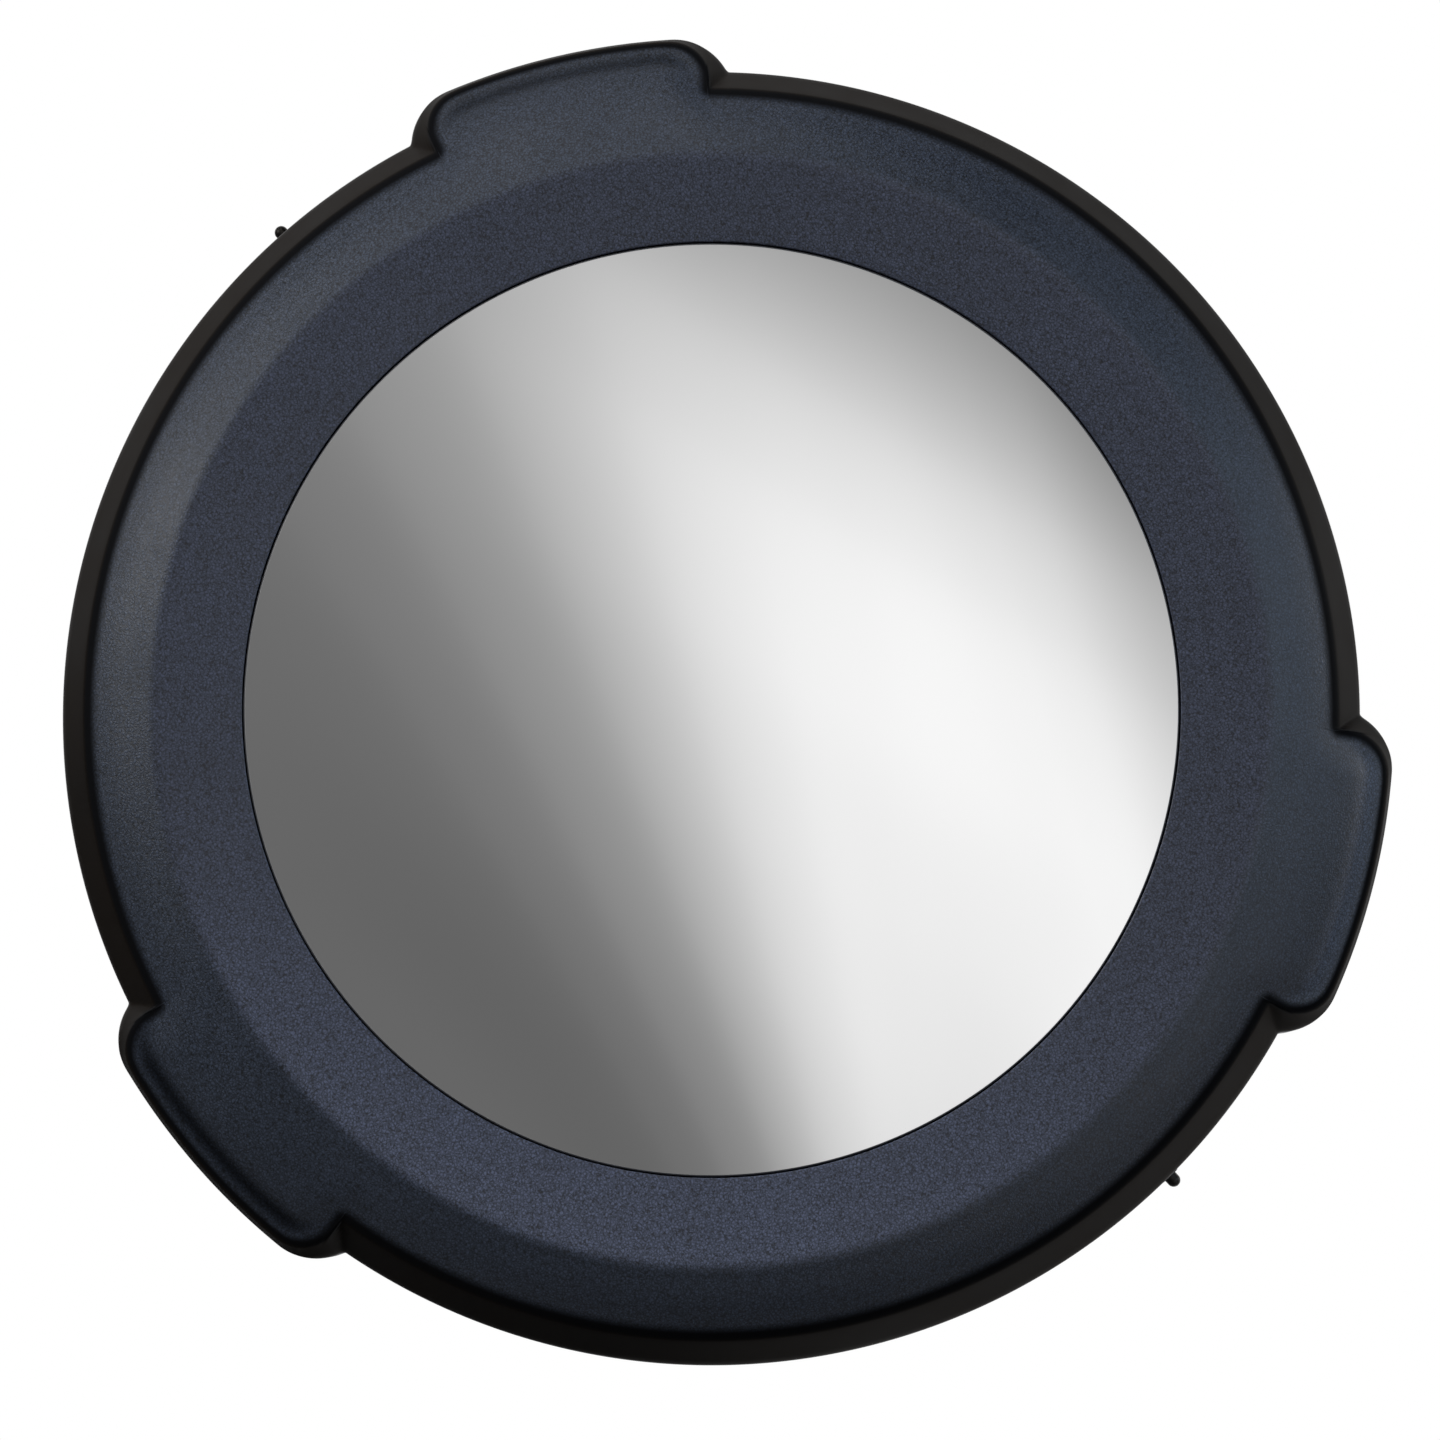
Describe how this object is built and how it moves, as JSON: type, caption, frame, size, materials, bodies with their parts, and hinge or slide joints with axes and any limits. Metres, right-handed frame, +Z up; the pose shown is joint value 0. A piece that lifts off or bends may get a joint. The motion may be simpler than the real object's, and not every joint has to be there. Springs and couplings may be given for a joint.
{
  "type": "convex security mirror",
  "caption": "Round convex mirror in a lobed charcoal plastic shell that tilts in a steel yoke and pans on a wall bracket with a locking knob.",
  "frame": {"origin": "middle of the wall plate's back face, on the wall", "axes": "+Z up, +Y into the wall, +X to the right for someone facing the mirror; the mirror faces -Y"},
  "size_m": [0.4288, 0.2485, 0.431],
  "materials": {
    "shell_plastic": "charcoal plastic with a fine leather grain",
    "mirror": "silvered acrylic",
    "foam": "black closed-cell foam",
    "hardboard": "brown hardboard",
    "cover_plastic": "black plastic, satin",
    "black_nylon": "black nylon",
    "natural_nylon": "natural nylon",
    "black_steel": "black powder coat",
    "dark_steel": "black oxide",
    "zinc_steel": "bright zinc",
    "knob_plastic": "black phenolic",
    "brass": "turned brass"
  },
  "bodies": {
    "wall_bracket": {"wall_plate": "black_steel", "support_arm": "black_steel", "arm_clevis": "black_steel", "pan_bolt": "zinc_steel", "bolt_washer": "zinc_steel", "thrust_washers": "natural_nylon"},
    "pan_lock": {"lock_knob": "knob_plastic", "knob_insert": "brass"},
    "yoke": {"yoke_bar": "black_steel", "yoke_lug": "black_steel", "foot_screws": "zinc_steel", "pivot_pin_left": "dark_steel", "pivot_pin_right": "dark_steel", "pin_nuts": "zinc_steel", "friction_washer_left": "natural_nylon", "friction_washer_right": "natural_nylon"},
    "mirror_head": {"front_shell": "shell_plastic", "mirror_dome": "mirror", "mirror_seal": "foam", "backing_board": "hardboard", "back_cover": "cover_plastic", "screw_blocks": "black_nylon", "cover_screws": "zinc_steel", "pivot_bush_left": "black_nylon", "pivot_bush_right": "black_nylon"}
  },
  "joints": [
    {"name": "pan", "type": "hinge", "parent": "wall_bracket", "child": "yoke", "pos_m": [0, -0.125, 0], "axis": [0, 0, 1], "range_deg": [-40, 40]},
    {"name": "tilt", "type": "hinge", "parent": "yoke", "child": "mirror_head", "pos_m": [0, -0.191, 0], "axis": [1, 0, 0], "range_deg": [-15, 30]},
    {"name": "pan_lock_turn", "type": "hinge", "parent": "wall_bracket", "child": "pan_lock", "pos_m": [0, -0.125, -0.025], "axis": [0, 0, -1], "range_deg": [0, 540]}
  ]
}
